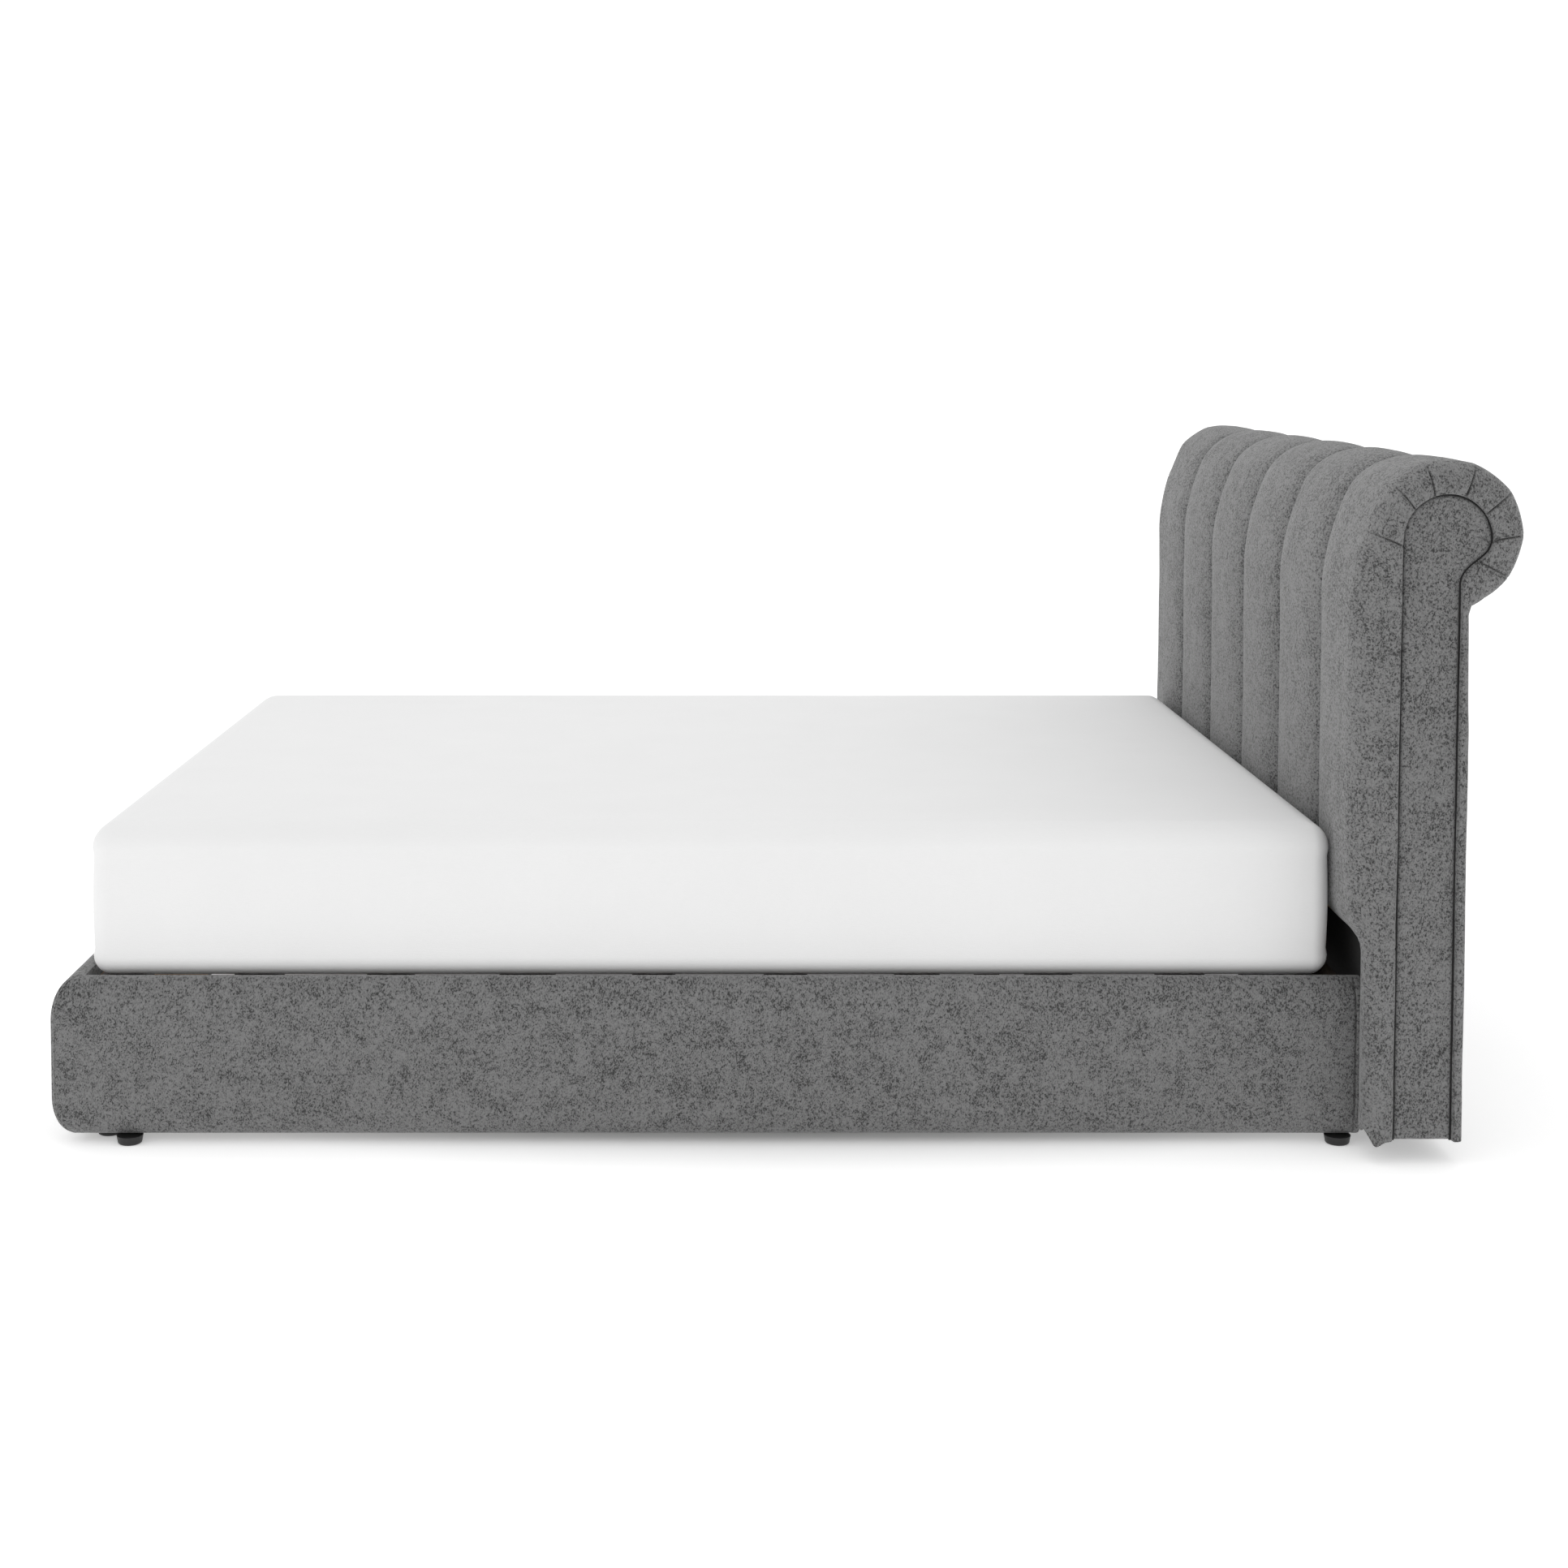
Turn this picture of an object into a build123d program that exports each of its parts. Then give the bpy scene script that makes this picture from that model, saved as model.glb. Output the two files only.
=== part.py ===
from build123d import *
import math
import os

# Upholstered queen-size sleigh bed, in millimetres.
# +Z is up, +Y runs towards the head, +X is the left-hand side of a sleeper lying on their back.
# The origin is on the floor, at the middle of the bed's footprint.

os.makedirs("parts", exist_ok=True)

# ---- headboard ---------------------------------------------------------------------------------
HEAD_HALF_WIDTH = 900
HEAD_BOTTOM = 38            # lower edge of the headboard's covers
HEAD_POINT_Y = 945          # folded point at the foot of each side border
HEAD_POINT_DROP = 9         # and how much lower it hangs
ROLL_Y, ROLL_Z = 1051, 998  # centre of the scroll
ROLL_R = 116                # outside of the padded scroll
CURVE_START_Z = 870         # the front is upright up to here, then sweeps back
FRONT_Y = 907               # crown of the channel padding
REAR_Y = 1081               # back of the headboard
PAD_BOTTOM = 351            # lower edge of the channel padding
PAD_FRONT_T = 32
PAD_ROLL_T = 20
COVER_T = 12                # back panel with its cover
CHANNELS = 6
CHANNEL_PITCH = 2 * HEAD_HALF_WIDTH / CHANNELS
SIDE_T = 18                 # padded side facing
INSET_T = 11                # flat scroll-shaped side panel
INSET_REAR_Y = 1065
INSET_HEAD_Y, INSET_HEAD_Z, INSET_HEAD_R = 1043, 990, 70.5
PLY_T = 18
BOARD_FRONT_Y = FRONT_Y + PAD_FRONT_T
BOARD_BACK_Y = BOARD_FRONT_Y + 12
SKIN_T = 6
LOWER_PANEL_Y = 947
LEG_FRONT_Y = 930           # padded front edge of the headboard's side below the channels
LEG_STRIP_W = 32
RAIL_LINE_Z = 862           # top of the timber rails inside the headboard
TIMBER = 40
POST_X, POST_W = 750, 90

# ---- side and foot rails -----------------------------------------------------------------------
RAIL_HALF_WIDTH = 810
RAIL_T = 46
RAIL_BOTTOM, RAIL_TOP = 14, 271
RAIL_BOARD_T = 22
RAIL_CAP = 10               # padding over the board's top and bottom edge
RAIL_ROUND_OUT = 33
RAIL_ROUND_TOP = 65
RAIL_ROUND_LOW = 68
FOOT_OUTER_Y = -1167
FOOT_INNER_Y = FOOT_OUTER_Y + RAIL_T
RAIL_INNER_X = RAIL_HALF_WIDTH - RAIL_T
RAIL_HEAD_Y = LOWER_PANEL_Y

# ---- slatted base ------------------------------------------------------------------------------
SLAT_COUNT = 10
SLAT_W, SLAT_T = 70, 18
SLAT_HALF_L = 755
SLAT_TOP = 263
LEDGER_W, LEDGER_H = 30, 40
LEDGER_TOP = SLAT_TOP - SLAT_T
BEAM_W, BEAM_H = 40, 60
LEG_SIZE = 45
LEG_YS = (-430, 430)
FOOT_TOP_R, FOOT_LOW_R = 21.5, 19
SIDE_FEET_Y = (-1046, 912)
CORNER_FOOT_X, CORNER_FOOT_Y = 738, -1090
HEAD_FOOT_X = 690
STUD_R, STUD_CLEARANCE = 5, 0.05
LEG_CLEARANCE = 6           # the centre legs end this much above the rails' lower edge
INSERT_R, INSERT_L = 8, 25

# ---- mattress ----------------------------------------------------------------------------------
MATTRESS_HALF_W = 762
MATTRESS_FOOT_Y, MATTRESS_HEAD_Y = -1113, 905
MATTRESS_REST_GAP = 0.3
MATTRESS_H = 254
MATTRESS_CORNER_R, MATTRESS_TOP_R, MATTRESS_LOW_R = 45, 42, 32
SHEET_T, TICKING_T = 1.5, 2

# ---- fasteners ---------------------------------------------------------------------------------
BOLT_R, BOLT_HEAD_R, BOLT_HEAD_H = 4, 8, 4
BOLT_REACH = 20             # how far a bracket's bolts enter the timber
BRACKET_LEG, BRACKET_BOLT = 60, 35
BRACKET_BOLT_ZS = (85, 165)
BLOCK_SIZE, BLOCK_TOP = 80, BRACKET_BOLT_ZS[0] - 25
SCREW_R, SCREW_HEAD_R, SCREW_HEAD_H = 2, 4, 2.5
PLATE_T = 3

parts = {}
fasteners = {"frame_bolts": [], "base_screws": []}


def box(x0, x1, y0, y1, z0, z1):
    """A box from its lowest and highest corner."""
    return Pos((x0 + x1) / 2, (y0 + y1) / 2, (z0 + z1) / 2) * Box(x1 - x0, y1 - y0, z1 - z0)


def rod(x, y, z, radius, length, axis="Z"):
    """A cylinder that starts at a point and runs along +axis; a negative length runs the other way."""
    turn = {"X": Rot(0, 90, 0), "Y": Rot(-90, 0, 0), "Z": Rot(0, 0, 0)}[axis]
    return Pos(x, y, z) * turn * Pos(0, 0, length / 2) * Cylinder(radius, abs(length))


def along_x(sketch, x0, x1):
    """A Y-Z outline extruded from x0 to x1."""
    return extrude(Plane.YZ.offset(x0) * sketch, amount=x1 - x0)


def with_mirrored(solids):
    """A list of pieces with their mirror images on the other side of the bed."""
    return solids + [mirror(solid, about=Plane.YZ) for solid in solids]


def both_sides(solid):
    """The pieces for the +X side and for the -X side."""
    return {"left": solid, "right": mirror(solid, about=Plane.YZ)}


# ---- outlines in the Y-Z plane -----------------------------------------------------------------
def scroll(front_y, rear_y, roll_r, bottom_z):
    """The headboard's side outline: upright front, two tangent arcs over the top, scroll, back."""
    reach = ROLL_Y - front_y
    rise = ROLL_Z + roll_r - CURVE_START_Z
    sweep_r = (reach**2 + (rise - roll_r) ** 2 - roll_r**2) / (2 * (reach - roll_r))
    sweep_y = front_y + sweep_r
    to_roll = math.atan2(ROLL_Z - CURVE_START_Z, ROLL_Y - sweep_y)

    def on_sweep(angle):
        return (sweep_y + sweep_r * math.cos(angle), CURVE_START_Z + sweep_r * math.sin(angle))

    def on_roll(angle):
        return (ROLL_Y + roll_r * math.cos(angle), ROLL_Z + roll_r * math.sin(angle))

    notch = -math.acos((rear_y - ROLL_Y) / roll_r)
    start = (front_y, CURVE_START_Z)
    joint, crest, end = on_sweep(to_roll), on_roll((to_roll + notch) / 2), on_roll(notch)
    foot_front, foot_rear = (front_y, bottom_z), (rear_y, bottom_z)
    edges = [
        Line(foot_front, start),
        ThreePointArc(start, on_sweep((math.pi + to_roll) / 2), joint),
        ThreePointArc(joint, crest, end),
        Line(end, foot_rear),
        Line(foot_rear, foot_front),
    ]
    return make_face(edges)


def block(y0, y1, z0, z1):
    """A rectangle in the Y-Z plane."""
    return Pos((y0 + y1) / 2, (z0 + z1) / 2) * Rectangle(y1 - y0, z1 - z0)


def inset_outline():
    """The flat side panel: a post with a round head that leans back over a hollow neck."""
    y, z, r = INSET_HEAD_Y, INSET_HEAD_Z, INSET_HEAD_R
    neck, hollow, back = (y + 32, z - 40), (y + 25, z - 54), (INSET_REAR_Y, z - 70)
    front_top, rear_top = (y - r, z), (y + r, z)
    foot_front, foot_rear = (y - r, HEAD_BOTTOM), (INSET_REAR_Y, HEAD_BOTTOM)
    edges = [
        Line(foot_front, front_top),
        ThreePointArc(front_top, (y, z + r), rear_top),
        ThreePointArc(rear_top, (y + 60, z - 24), neck),
        ThreePointArc(neck, hollow, back),
        Line(back, foot_rear),
        Line(foot_rear, foot_front),
    ]
    return make_face(edges)


def rail_outline():
    """A padded rail's D-shaped section: x is the distance out from the inner face, y the height."""
    flat = RAIL_T - RAIL_ROUND_OUT
    top_z, low_z = RAIL_TOP - RAIL_ROUND_TOP, RAIL_BOTTOM + RAIL_ROUND_LOW
    edges = [
        Line((0, RAIL_BOTTOM), (flat, RAIL_BOTTOM)),
        EllipticalCenterArc((flat, low_z), RAIL_ROUND_OUT, RAIL_ROUND_LOW, start_angle=270, arc_size=90),
        Line((RAIL_T, low_z), (RAIL_T, top_z)),
        EllipticalCenterArc((flat, top_z), RAIL_ROUND_OUT, RAIL_ROUND_TOP, start_angle=0, arc_size=90),
        Line((flat, RAIL_TOP), (0, RAIL_TOP)),
        Line((0, RAIL_TOP), (0, RAIL_BOTTOM)),
    ]
    return make_face(edges)


outer = scroll(FRONT_Y, REAR_Y, ROLL_R, HEAD_BOTTOM)
ply = scroll(BOARD_FRONT_Y, REAR_Y - COVER_T, ROLL_R - PAD_ROLL_T, HEAD_BOTTOM + 3)
former_edge = scroll(BOARD_FRONT_Y + SKIN_T, REAR_Y - COVER_T - SKIN_T, ROLL_R - PAD_ROLL_T - SKIN_T, 0)
below_rail_line = block(0, 1400, -100, RAIL_LINE_Z)


# ---- headboard ---------------------------------------------------------------------------------
def headboard_covers():
    """Channel pads, side borders, flat side panels, back panel, lower panel and dust cover."""
    notch_z = ROLL_Z - math.sqrt(ROLL_R**2 - (REAR_Y - ROLL_Y) ** 2)
    pad = outer - ply - block(0, 1400, 0, PAD_BOTTOM) - block(1000, 1400, 0, notch_z)
    lip = make_face(
        [
            Line((FRONT_Y, PAD_BOTTOM + 60), (FRONT_Y, PAD_BOTTOM)),
            Line((FRONT_Y, PAD_BOTTOM), (BOARD_FRONT_Y, PAD_BOTTOM)),
            ThreePointArc(
                (BOARD_FRONT_Y, PAD_BOTTOM), (FRONT_Y + 9, PAD_BOTTOM + 22), (FRONT_Y, PAD_BOTTOM + 60)
            ),
        ]
    )
    pad = pad - lip
    inner_x = HEAD_HALF_WIDTH - SIDE_T
    for i in range(CHANNELS):
        x0 = max(-HEAD_HALF_WIDTH + i * CHANNEL_PITCH, -inner_x)
        x1 = min(-HEAD_HALF_WIDTH + (i + 1) * CHANNEL_PITCH, inner_x)
        parts[f"channel_pad_{i + 1}"] = along_x(pad, x0, x1)

    inset = inset_outline()
    point = make_face(
        Polyline(
            (LEG_FRONT_Y + 2, HEAD_BOTTOM), (HEAD_POINT_Y, HEAD_BOTTOM - HEAD_POINT_DROP),
            (HEAD_POINT_Y + 20, HEAD_BOTTOM), (LEG_FRONT_Y + 2, HEAD_BOTTOM),
        )
    )
    border = outer - block(0, LEG_FRONT_Y, 0, PAD_BOTTOM) + point - inset
    strip = block(LEG_FRONT_Y, BOARD_FRONT_Y, HEAD_BOTTOM, PAD_BOTTOM - 3)
    side = along_x(border, inner_x, HEAD_HALF_WIDTH) + along_x(strip, inner_x - LEG_STRIP_W, inner_x)
    for name, piece in both_sides(side).items():
        parts[f"side_border_{name}"] = piece
    for name, piece in both_sides(along_x(inset, inner_x, inner_x + INSET_T)).items():
        parts[f"side_panel_{name}"] = piece

    parts["back_panel"] = box(-inner_x, inner_x, REAR_Y - COVER_T, REAR_Y, HEAD_BOTTOM + 3, notch_z)
    parts["lower_front_panel"] = box(
        -inner_x + PLY_T, inner_x - PLY_T, LOWER_PANEL_Y, BOARD_BACK_Y, HEAD_BOTTOM + 3, PAD_BOTTOM - 6
    )
    parts["headboard_dust_cover"] = box(
        -inner_x, inner_x, LOWER_PANEL_Y, REAR_Y, HEAD_BOTTOM + 1, HEAD_BOTTOM + 3
    )


def headboard_frame():
    """Plywood ends, front board, bent skin, formers, posts and timber rails inside the covers."""
    inner_x = HEAD_HALF_WIDTH - SIDE_T
    clear_x = inner_x - PLY_T
    for name, piece in both_sides(along_x(ply, clear_x, inner_x)).items():
        parts[f"headboard_end_{name}"] = piece

    skin = ply - former_edge - below_rail_line
    parts["roll_skin"] = along_x(skin, -clear_x, clear_x)
    half = TIMBER / 2
    stretcher = block(ROLL_Y - half, ROLL_Y + half, ROLL_Z - half, ROLL_Z + half)
    former = former_edge - below_rail_line - stretcher
    centres = [-HEAD_HALF_WIDTH + i * CHANNEL_PITCH for i in range(1, CHANNELS)]
    formers = [along_x(former, x - PLY_T / 2, x + PLY_T / 2) for x in centres]
    parts["roll_formers"] = Compound(children=formers)
    parts["roll_stretcher"] = along_x(stretcher, -clear_x, clear_x)

    parts["headboard_front_board"] = box(
        -clear_x, clear_x, BOARD_FRONT_Y, BOARD_BACK_Y, PAD_BOTTOM - 6, RAIL_LINE_Z
    )
    y0, y1 = BOARD_BACK_Y, BOARD_BACK_Y + TIMBER
    low_z = HEAD_BOTTOM + 3
    half = POST_W / 2
    post = box(POST_X - half, POST_X + half, y0, y1, low_z, RAIL_LINE_Z - 90)
    panel = parts["lower_front_panel"]
    for z in BRACKET_BOLT_ZS:
        hole = rod(RAIL_INNER_X - BRACKET_BOLT, LOWER_PANEL_Y, z, BOLT_R, 50, "Y")
        post = post - hole
        panel = panel - hole - mirror(hole, about=Plane.YZ)
    for name, piece in both_sides(post).items():
        parts[f"headboard_post_{name}"] = piece
    parts["lower_front_panel"] = panel
    between = POST_X - half
    parts["headboard_bottom_rail"] = box(-between, between, y0, y1, low_z, low_z + 70)
    parts["headboard_middle_rail"] = box(-between, between, y0, y1, 175, 265)
    parts["headboard_top_rail"] = box(-clear_x, clear_x, y0, y1, RAIL_LINE_Z - 90, RAIL_LINE_Z)
    back = REAR_Y - COVER_T
    parts["headboard_rear_rails"] = Compound(
        children=[
            box(-clear_x, clear_x, back - TIMBER, back, RAIL_LINE_Z - 80, RAIL_LINE_Z),
            box(-clear_x, clear_x, back - TIMBER, back, low_z, low_z + 60),
        ]
    )


# ---- rails -------------------------------------------------------------------------------------
def rails():
    """Timber boards and their padded covers at both sides and at the foot."""
    section = rail_outline()
    z0, z1 = RAIL_BOTTOM + RAIL_CAP, RAIL_TOP - RAIL_CAP
    length = RAIL_HEAD_Y - FOOT_INNER_Y
    # Standing the section on the X-Z plane, its first axis points outwards.
    side = Pos(RAIL_INNER_X, FOOT_INNER_Y, 0) * extrude(Plane.XZ * section, amount=-length)
    board = box(RAIL_INNER_X, RAIL_INNER_X + RAIL_BOARD_T, FOOT_INNER_Y, RAIL_HEAD_Y, z0, z1)
    side_pad = side - board
    for y in corner_bolt_ys():
        for z in BRACKET_BOLT_ZS:
            board = board - rod(RAIL_INNER_X, y, z, BOLT_R, BOLT_REACH, "X")
    for y in ledger_screw_ys():
        board = board - rod(RAIL_INNER_X, y, LEDGER_TOP - LEDGER_H / 2, SCREW_R, 15, "X")
    for name, piece in both_sides(side_pad).items():
        parts[f"side_rail_pad_{name}"] = piece
    for name, piece in both_sides(board).items():
        parts[f"side_rail_board_{name}"] = piece

    plane = Plane(origin=(-RAIL_HALF_WIDTH, FOOT_INNER_Y, 0), x_dir=(0, -1, 0), z_dir=(-1, 0, 0))
    foot = extrude(plane * section, amount=-2 * RAIL_HALF_WIDTH)
    half = RAIL_INNER_X + RAIL_BOARD_T
    board = box(-half, half, FOOT_INNER_Y - RAIL_BOARD_T, FOOT_INNER_Y, z0, z1)
    parts["foot_rail_pad"] = foot - board
    bolt_x = RAIL_INNER_X - BRACKET_BOLT
    for x in (-bolt_x, bolt_x):
        for z in BRACKET_BOLT_ZS:
            board = board - rod(x, FOOT_INNER_Y, z, BOLT_R, -BOLT_REACH, "Y")
    parts["foot_rail_board"] = board


def corner_bolt_ys():
    """Where the corner brackets' bolts enter the side rails, at the foot and at the head."""
    return (FOOT_INNER_Y + BRACKET_BOLT, RAIL_HEAD_Y - BRACKET_BOLT)


def ledger_screw_ys():
    """Screws that hold each slat ledger to its rail, between the slats."""
    ys = slat_ys()
    return [(ys[i] + ys[i + 1]) / 2 for i in range(0, SLAT_COUNT - 1, 2)]


def corner_brackets():
    """Steel angles in the four inner corners, with the bolts through them."""
    z0, z1 = BLOCK_TOP, BRACKET_BOLT_ZS[1] + 25
    across = BOLT_REACH + PLATE_T
    brackets, bolts = [], []
    for wall_y, inward in ((FOOT_INNER_Y, 1), (RAIL_HEAD_Y, -1)):
        face_x, face_y = RAIL_INNER_X - PLATE_T, wall_y + inward * PLATE_T
        ends_y = sorted((wall_y, wall_y + inward * BRACKET_LEG))
        plate_x = box(face_x, RAIL_INNER_X, *ends_y, z0, z1)
        plate_y = box(RAIL_INNER_X - BRACKET_LEG, RAIL_INNER_X, *sorted((wall_y, face_y)), z0, z1)
        bracket = plate_x + plate_y
        for z in BRACKET_BOLT_ZS:
            y, x = wall_y + inward * BRACKET_BOLT, RAIL_INNER_X - BRACKET_BOLT
            into_side = rod(face_x, y, z, BOLT_R, across, "X")
            into_end = rod(x, face_y, z, BOLT_R, -inward * across, "Y")
            bracket = bracket - into_side - into_end
            bolts.append(into_side + rod(face_x, y, z, BOLT_HEAD_R, -BOLT_HEAD_H, "X"))
            bolts.append(into_end + rod(x, face_y, z, BOLT_HEAD_R, inward * BOLT_HEAD_H, "Y"))
        brackets.append(bracket)
    parts["corner_brackets"] = Compound(children=with_mirrored(brackets))
    fasteners["frame_bolts"] += with_mirrored(bolts)
    x0, y1 = RAIL_INNER_X - BLOCK_SIZE, FOOT_INNER_Y + BLOCK_SIZE
    corner = box(x0, RAIL_INNER_X, FOOT_INNER_Y, y1, RAIL_BOTTOM, BLOCK_TOP)
    parts["corner_blocks"] = Compound(children=with_mirrored([corner]))


# ---- slatted base ------------------------------------------------------------------------------
def slat_ys():
    """Evenly spaced slat centres between the foot rail and the headboard."""
    first = FOOT_INNER_Y + 20 + SLAT_W / 2
    last = RAIL_HEAD_Y - 25 - SLAT_W / 2
    return [first + i * (last - first) / (SLAT_COUNT - 1) for i in range(SLAT_COUNT)]


def slatted_base():
    """Ledgers, slats, screws, the centre beam with its stirrups, legs and levelling feet."""
    inner = RAIL_INNER_X - LEDGER_W
    ledger = box(inner, RAIL_INNER_X, FOOT_INNER_Y, RAIL_HEAD_Y, LEDGER_TOP - LEDGER_H, LEDGER_TOP)
    screws = []
    x_screw = RAIL_INNER_X - LEDGER_W / 2 - 4
    for i, y in enumerate(slat_ys()):
        head = rod(x_screw, y, SLAT_TOP, SCREW_HEAD_R, -SCREW_HEAD_H)
        screw = head + rod(x_screw, y, SLAT_TOP - SCREW_HEAD_H, SCREW_R, -32)
        slat = box(-SLAT_HALF_L, SLAT_HALF_L, y - SLAT_W / 2, y + SLAT_W / 2, LEDGER_TOP, SLAT_TOP)
        parts[f"slat_{i + 1:02d}"] = slat - screw - mirror(screw, about=Plane.YZ)
        ledger = ledger - screw
        screws.append(screw)
    for y in ledger_screw_ys():
        z = LEDGER_TOP - LEDGER_H / 2
        head = rod(inner, y, z, SCREW_HEAD_R, SCREW_HEAD_H, "X")
        screw = head + rod(inner + SCREW_HEAD_H, y, z, SCREW_R, LEDGER_W - SCREW_HEAD_H + 15, "X")
        ledger = ledger - screw
        screws.append(screw)
    for name, piece in both_sides(ledger).items():
        parts[f"slat_ledger_{name}"] = piece
    fasteners["base_screws"] += with_mirrored(screws)

    half, beam_low = BEAM_W / 2, LEDGER_TOP - BEAM_H
    y0, y1 = FOOT_INNER_Y + PLATE_T, RAIL_HEAD_Y - PLATE_T
    beam = box(-half, half, y0, y1, beam_low, LEDGER_TOP)
    stirrups = []
    for wall_y, inward in ((FOOT_INNER_Y, 1), (RAIL_HEAD_Y, -1)):
        reach = sorted((wall_y, wall_y + inward * 35))
        plate = sorted((wall_y, wall_y + inward * PLATE_T))
        outer_box = box(-half - PLATE_T, half + PLATE_T, *reach, beam_low - PLATE_T, LEDGER_TOP - 5)
        ears = box(-half - 25, half + 25, *plate, beam_low - PLATE_T, LEDGER_TOP - 5)
        stirrups.append(outer_box + ears - beam)
    parts["beam_stirrups"] = Compound(children=stirrups)

    inserts = []
    leg_half = LEG_SIZE / 2
    leg_low = RAIL_BOTTOM + LEG_CLEARANCE
    for i, y in enumerate(LEG_YS):
        bolt = rod(0, y, LEDGER_TOP - 6, BOLT_HEAD_R, 6) + rod(0, y, LEDGER_TOP - 6, BOLT_R, -94)
        beam = beam - bolt
        fasteners["frame_bolts"].append(bolt)
        socket = rod(0, y, leg_low, INSERT_R, INSERT_L)
        insert = socket - rod(0, y, leg_low, STUD_R + STUD_CLEARANCE, INSERT_L)
        well = socket + rod(0, y, leg_low + INSERT_L, STUD_R + 1, 20)
        leg = box(-leg_half, leg_half, y - leg_half, y + leg_half, leg_low, beam_low) - well - bolt
        parts[f"centre_leg_{i + 1}"] = leg
        inserts.append(insert)
        pad = chamfer((rod(0, y, 0, 19, 10)).edges().group_by(Axis.Z)[-1], 3)
        nut = extrude(Pos(0, y, 10) * RegularPolygon(9, 6), amount=8)
        parts[f"leveller_{i + 1}"] = pad + nut + rod(0, y, 18, STUD_R, 40)
    parts["centre_beam"] = beam
    parts["leg_inserts"] = Compound(children=inserts)


# ---- feet --------------------------------------------------------------------------------------
def foot(x, y, height):
    """A short round plastic foot, a little narrower at the floor, with a softened lower edge."""
    shape = Pos(x, y, height / 2) * Cone(FOOT_LOW_R, FOOT_TOP_R, height)
    return fillet(shape.edges().group_by(Axis.Z)[0], 4)


def feet():
    """Feet below the side rails, the corner blocks and the headboard."""
    x_side = RAIL_HALF_WIDTH - RAIL_T / 2
    side = [foot(x_side, y, RAIL_BOTTOM) for y in SIDE_FEET_Y]
    parts["side_rail_feet"] = Compound(children=with_mirrored(side))
    corner = foot(CORNER_FOOT_X, CORNER_FOOT_Y, RAIL_BOTTOM)
    parts["corner_block_feet"] = Compound(children=with_mirrored([corner]))
    y_head = (BOARD_BACK_Y + TIMBER / 2, REAR_Y - COVER_T - TIMBER / 2)
    head = [foot(HEAD_FOOT_X, y, HEAD_BOTTOM + 1) for y in y_head]
    parts["headboard_feet"] = Compound(children=with_mirrored(head))


# ---- mattress ----------------------------------------------------------------------------------
def mattress_block(inset):
    """The mattress's rounded block, drawn in by the same amount on every side."""
    x = MATTRESS_HALF_W - inset
    z0 = SLAT_TOP + MATTRESS_REST_GAP + inset
    z1 = SLAT_TOP + MATTRESS_REST_GAP + MATTRESS_H - inset
    solid = box(-x, x, MATTRESS_FOOT_Y + inset, MATTRESS_HEAD_Y - inset, z0, z1)
    solid = fillet(solid.edges().filter_by(Axis.Z), MATTRESS_CORNER_R - inset)
    solid = fillet(solid.edges().group_by(Axis.Z)[-1], MATTRESS_TOP_R - inset)
    return fillet(solid.edges().group_by(Axis.Z)[0], MATTRESS_LOW_R - inset)


def mattress():
    """Foam core in a quilted ticking, under a fitted sheet that is open below."""
    outside, ticking, core = (mattress_block(t) for t in (0, SHEET_T, SHEET_T + TICKING_T))
    tuck = 90
    z0 = SLAT_TOP
    opening = box(
        -MATTRESS_HALF_W + tuck, MATTRESS_HALF_W - tuck,
        MATTRESS_FOOT_Y + tuck, MATTRESS_HEAD_Y - tuck, z0, z0 + 40,
    )
    parts["mattress_core"] = core
    parts["mattress_ticking"] = ticking - core
    parts["fitted_sheet"] = outside - ticking - opening


headboard_covers()
headboard_frame()
rails()
corner_brackets()
slatted_base()
feet()
mattress()

for name, pieces in fasteners.items():
    parts[name] = Compound(children=pieces)
for node, shape in parts.items():
    export_step(shape, f"parts/{node}.step")
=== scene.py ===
import math

import bmesh
import bpy
import numpy as np
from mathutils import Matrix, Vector, noise


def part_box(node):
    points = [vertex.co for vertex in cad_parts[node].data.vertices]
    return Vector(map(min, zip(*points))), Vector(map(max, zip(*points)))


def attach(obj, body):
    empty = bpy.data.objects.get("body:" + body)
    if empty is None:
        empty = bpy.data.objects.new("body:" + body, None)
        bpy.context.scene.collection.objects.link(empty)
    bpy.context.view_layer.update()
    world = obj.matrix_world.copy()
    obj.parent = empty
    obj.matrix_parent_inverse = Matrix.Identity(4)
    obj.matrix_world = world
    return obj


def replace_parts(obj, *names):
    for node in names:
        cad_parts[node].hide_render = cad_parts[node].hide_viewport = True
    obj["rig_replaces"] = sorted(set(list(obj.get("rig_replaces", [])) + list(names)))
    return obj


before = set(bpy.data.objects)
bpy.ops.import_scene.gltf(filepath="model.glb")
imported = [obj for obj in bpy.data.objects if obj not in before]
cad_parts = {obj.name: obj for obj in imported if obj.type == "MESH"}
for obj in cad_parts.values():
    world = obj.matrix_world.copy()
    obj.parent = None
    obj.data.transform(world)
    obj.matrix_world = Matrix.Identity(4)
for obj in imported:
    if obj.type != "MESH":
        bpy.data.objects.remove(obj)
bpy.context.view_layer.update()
scene = bpy.context.scene
BED, MATTRESS = "bed_frame", "mattress"

# ---- places read from the frame, in metres -----------------------------------------------------
pad_lo, pad_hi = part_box("channel_pad_3")
back_lo, back_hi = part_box("back_panel")
inset_lo, inset_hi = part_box("side_panel_left")
border_lo, border_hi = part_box("side_border_left")
lower_lo, lower_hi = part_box("lower_front_panel")
stretcher_lo, stretcher_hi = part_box("roll_stretcher")
rail_lo, rail_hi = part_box("side_rail_pad_left")
foot_lo, foot_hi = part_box("foot_rail_pad")
sheet_lo, sheet_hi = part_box("fitted_sheet")

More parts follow.
